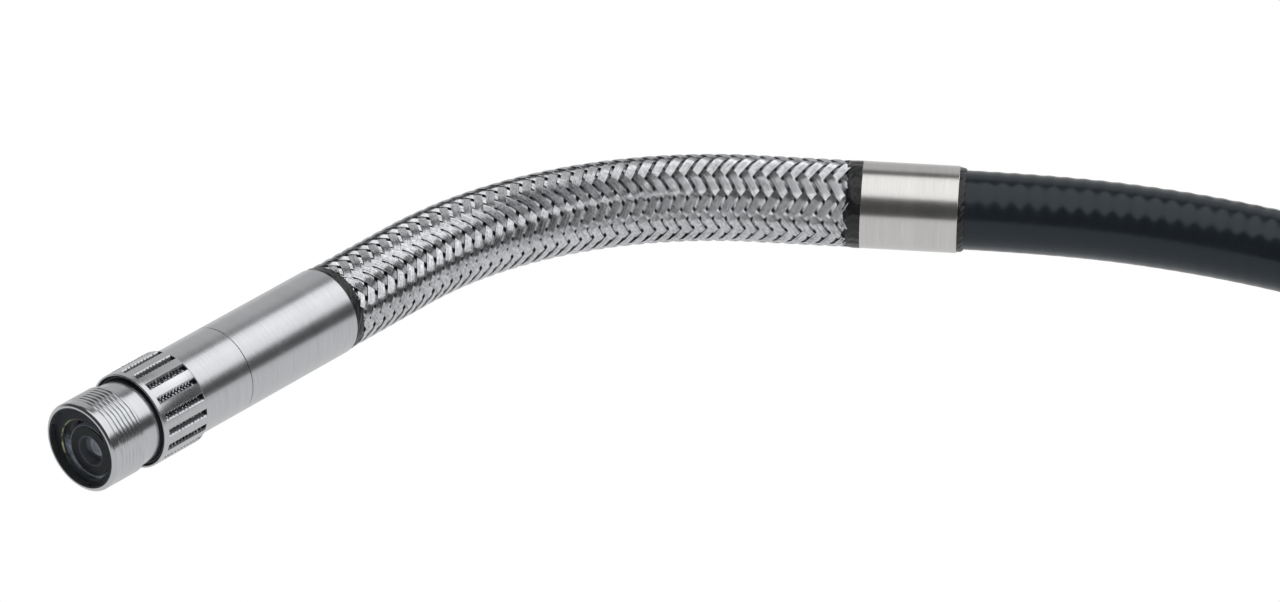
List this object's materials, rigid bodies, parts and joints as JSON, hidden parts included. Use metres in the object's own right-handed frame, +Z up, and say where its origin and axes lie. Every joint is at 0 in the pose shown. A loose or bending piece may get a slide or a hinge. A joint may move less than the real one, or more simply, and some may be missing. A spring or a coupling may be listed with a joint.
{
  "type": "articulating inspection camera probe",
  "caption": "Steerable inspection camera probe with a threaded camera head, knurled collar, braided bending neck, flexible insertion tube and plug.",
  "frame": {"origin": "middle of the accessory thread on the head's axis", "axes": "+Z up from the table, the lens looks along -X, and the neck is turned towards -Y"},
  "size_m": [0.1524, 0.1029, 0.0163],
  "materials": {
    "barrel_steel": "turned, bright",
    "collar_steel": "turned, knurled slots",
    "sleeve_steel": "satin, brushed round",
    "ferrule_steel": "smooth, fine scratches",
    "link_steel": "satin",
    "braid_wire": "drawn wire",
    "pull_wire": "stranded",
    "window_glass": "coated, clear",
    "lens_glass": "coated",
    "black_anodised": "matt black",
    "circuit_board": "green board",
    "led_emitter": "yellow phosphor",
    "sensor_silicon": "dark, polished",
    "ribbon_film": "amber film",
    "seal_rubber": "black",
    "epoxy_black": "black, satin",
    "insulator": "black",
    "contact_gold": "plated",
    "cable_jacket": "grey",
    "tube_jacket": "satin black over a coil",
    "boot_rubber": "black",
    "plug_metal": "satin nickel",
    "rod_steel": "ground"
  },
  "bodies": {
    "tube": {"ferrule": "ferrule_steel", "ferrule_band": "epoxy_black", "tube_end_fitting": "ferrule_steel", "glue_bead": "epoxy_black", "neck_rear_ring": "link_steel", "insertion_tube": "tube_jacket", "tube_coil": "tube_jacket", "plug_boot": "boot_rubber", "plug_shell": "plug_metal", "plug_insert": "insulator", "plug_pins": "contact_gold", "plug_seal": "seal_rubber", "neck_braid": "braid_wire", "neck_rubber": "seal_rubber", "pull_wires": "pull_wire", "signal_cable": "cable_jacket"},
    "head": {"head_sleeve": "sleeve_steel", "head_core": "sleeve_steel", "key_pin": "barrel_steel", "contact_block": "insulator", "contact_pins": "contact_gold", "neck_front_ring": "link_steel", "wire_anchors": "link_steel", "head_band": "epoxy_black", "neck_pivots_01": "link_steel"},
    "camera": {"camera_barrel": "barrel_steel", "front_window": "window_glass", "window_mask": "black_anodised", "lens_barrel": "black_anodised", "front_lens": "lens_glass", "lens_spacer": "black_anodised", "rear_lens": "lens_glass", "led_board": "circuit_board", "led_chips": "led_emitter", "image_sensor": "sensor_silicon", "sensor_board": "circuit_board", "camera_ribbon": "ribbon_film", "contact_pad_board": "circuit_board", "retaining_clip": "barrel_steel", "barrel_o_ring": "seal_rubber"},
    "collar": {"knurled_collar": "collar_steel"},
    "plug_nut": {"plug_nut": "plug_metal"},
    "rod_left": {"steering_rod_left": "rod_steel"},
    "rod_right": {"steering_rod_right": "rod_steel"},
    "link_01": {"neck_link_01": "link_steel", "neck_pivots_02": "link_steel"},
    "link_02": {"neck_link_02": "link_steel", "neck_pivots_03": "link_steel"},
    "link_03": {"neck_link_03": "link_steel", "neck_pivots_04": "link_steel"},
    "link_04": {"neck_link_04": "link_steel", "neck_pivots_05": "link_steel"},
    "link_05": {"neck_link_05": "link_steel", "neck_pivots_06": "link_steel"},
    "link_06": {"neck_link_06": "link_steel", "neck_pivots_07": "link_steel"},
    "link_07": {"neck_link_07": "link_steel", "neck_pivots_08": "link_steel"},
    "link_08": {"neck_link_08": "link_steel", "neck_pivots_09": "link_steel"}
  },
  "joints": [
    {"name": "neck_bend_09", "type": "hinge", "parent": "tube", "child": "link_08", "pos_m": [0.05087, -0.0104, 0], "axis": [0, 0, 1], "range_deg": [-19.38, 7.29], "deforming": ["neck_braid", "neck_rubber", "pull_wires", "signal_cable"]},
    {"name": "neck_bend_08", "type": "hinge", "parent": "link_08", "child": "link_07", "pos_m": [0.04892, -0.00822, 0], "axis": [0, 0, 1], "range_deg": [-19.38, 7.29]},
    {"name": "neck_bend_07", "type": "hinge", "parent": "link_07", "child": "link_06", "pos_m": [0.04676, -0.00624, 0], "axis": [0, 0, 1], "range_deg": [-19.38, 7.29]},
    {"name": "neck_bend_06", "type": "hinge", "parent": "link_06", "child": "link_05", "pos_m": [0.04439, -0.00451, 0], "axis": [0, 0, 1], "range_deg": [-19.38, 7.29]},
    {"name": "neck_bend_05", "type": "hinge", "parent": "link_05", "child": "link_04", "pos_m": [0.04186, -0.00303, 0], "axis": [0, 0, 1], "range_deg": [-19.38, 7.29]},
    {"name": "neck_bend_04", "type": "hinge", "parent": "link_04", "child": "link_03", "pos_m": [0.03919, -0.00183, 0], "axis": [0, 0, 1], "range_deg": [-19.38, 7.29]},
    {"name": "neck_bend_03", "type": "hinge", "parent": "link_03", "child": "link_02", "pos_m": [0.0364, -0.00092, 0], "axis": [0, 0, 1], "range_deg": [-19.38, 7.29]},
    {"name": "neck_bend_02", "type": "hinge", "parent": "link_02", "child": "link_01", "pos_m": [0.03354, -0.00031, 0], "axis": [0, 0, 1], "range_deg": [-19.38, 7.29]},
    {"name": "neck_bend_01", "type": "hinge", "parent": "link_01", "child": "head", "pos_m": [0.03063, 0, 0], "axis": [0, 0, 1], "range_deg": [-19.38, 7.29]},
    {"name": "camera_advance", "type": "slide", "parent": "head", "child": "camera", "axis": [-1, 0, 0], "range_m": [0, 0.002]},
    {"name": "collar_turn", "type": "hinge", "parent": "camera", "child": "collar", "pos_m": [0, 0, 0], "axis": [-1, 0, 0], "range_deg": [0, 1440]},
    {"name": "steering_rod_left_slide", "type": "slide", "parent": "tube", "child": "rod_left", "axis": [0, 1, 0], "range_m": [-0.00212, 0.00563]},
    {"name": "steering_rod_right_slide", "type": "slide", "parent": "tube", "child": "rod_right", "axis": [0, 1, 0], "range_m": [-0.00563, 0.00212]},
    {"name": "plug_nut_turn", "type": "hinge", "parent": "tube", "child": "plug_nut", "pos_m": [0.14289, -0.0066, 0.0049], "axis": [0, 1, 0], "continuous": true}
  ],
  "couplings": [
    {"joint": "neck_bend_01", "follows": "neck_bend_09", "ratio": 1},
    {"joint": "neck_bend_02", "follows": "neck_bend_09", "ratio": 1},
    {"joint": "neck_bend_03", "follows": "neck_bend_09", "ratio": 1},
    {"joint": "neck_bend_04", "follows": "neck_bend_09", "ratio": 1},
    {"joint": "neck_bend_05", "follows": "neck_bend_09", "ratio": 1},
    {"joint": "neck_bend_06", "follows": "neck_bend_09", "ratio": 1},
    {"joint": "neck_bend_07", "follows": "neck_bend_09", "ratio": 1},
    {"joint": "neck_bend_08", "follows": "neck_bend_09", "ratio": 1},
    {"joint": "steering_rod_left_slide", "follows": "neck_bend_09", "m_per_rad": -0.01665},
    {"joint": "steering_rod_right_slide", "follows": "neck_bend_09", "m_per_rad": 0.01665},
    {"joint": "collar_turn", "follows": "camera_advance", "rad_per_m": 12566}
  ]
}
